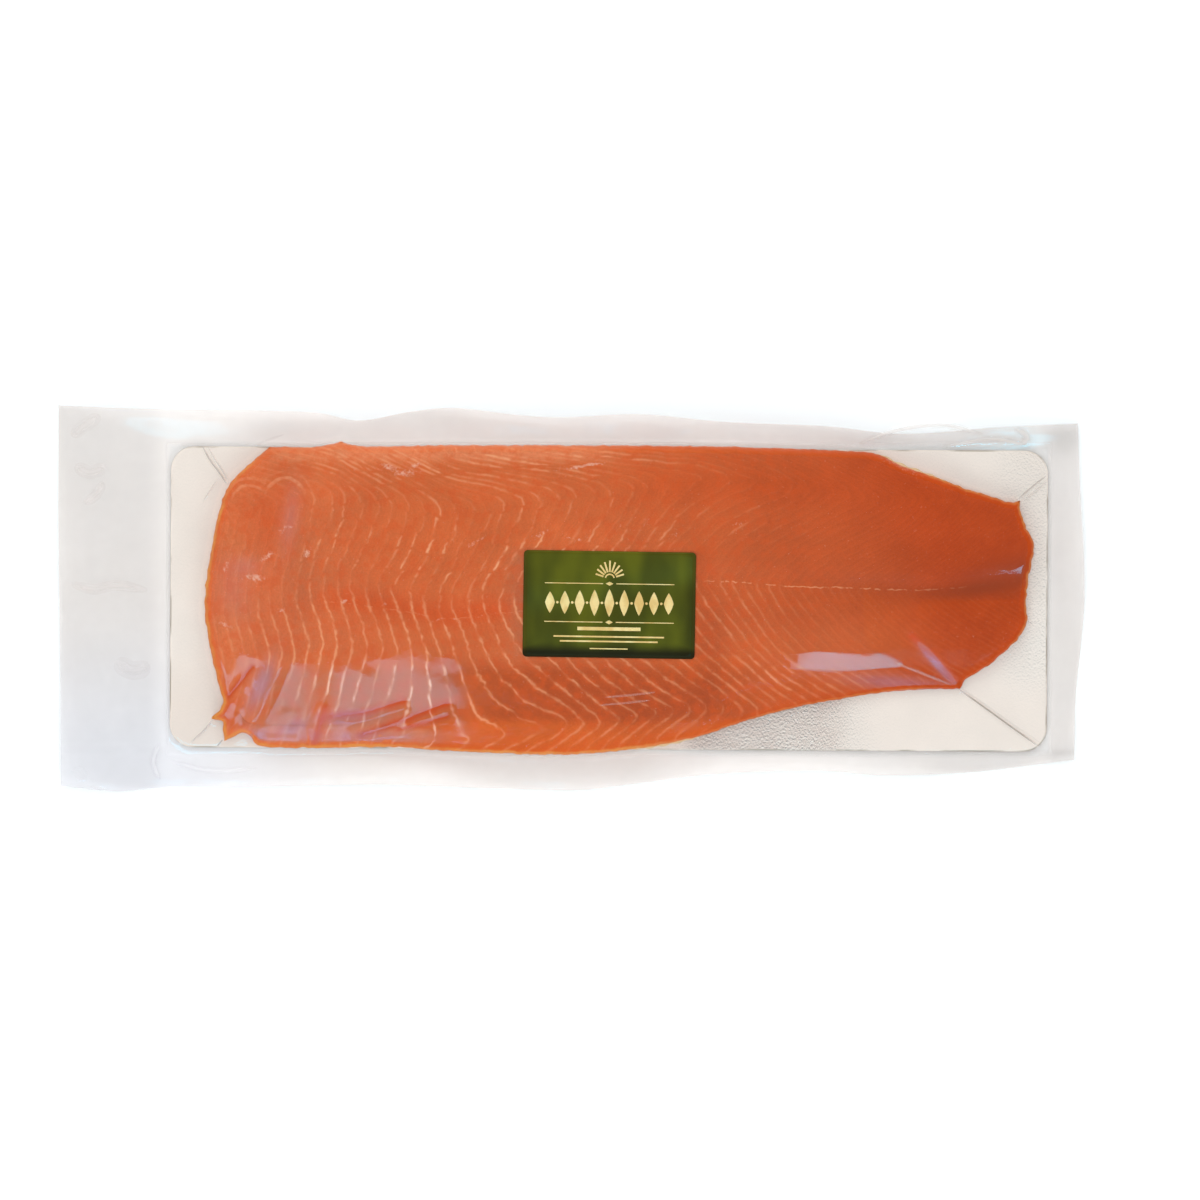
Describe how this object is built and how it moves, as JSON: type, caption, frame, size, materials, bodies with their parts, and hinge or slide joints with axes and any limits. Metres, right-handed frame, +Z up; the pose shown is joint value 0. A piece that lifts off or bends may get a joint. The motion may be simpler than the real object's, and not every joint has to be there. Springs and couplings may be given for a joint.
{
  "type": "vacuum-packed smoked salmon side",
  "caption": "Whole side of smoked salmon on a foil-faced board, vacuum sealed in a clear bag with a plain decorated label on top.",
  "frame": {"origin": "middle of the bag's underside, at the centre of the whole pack's box", "axes": "+Z up, +X from the head end to the tail end of the fish, +Y from the belly to the back"},
  "size_m": [0.6532, 0.2456, 0.0236],
  "materials": {
    "film": "clear polyamide and polyethylene film, glossy, softly creased",
    "board": "pale champagne foil laminated on cardboard, satin metallic",
    "salmon": "moist orange flesh with thin pale fat lines, seen through tight film",
    "label": "metallic olive green paper with gold rules and shapes"
  },
  "bodies": {
    "root": {"vacuum_bag": "film", "foil_board": "board", "salmon_side": "salmon", "label": "label"}
  },
  "joints": []
}
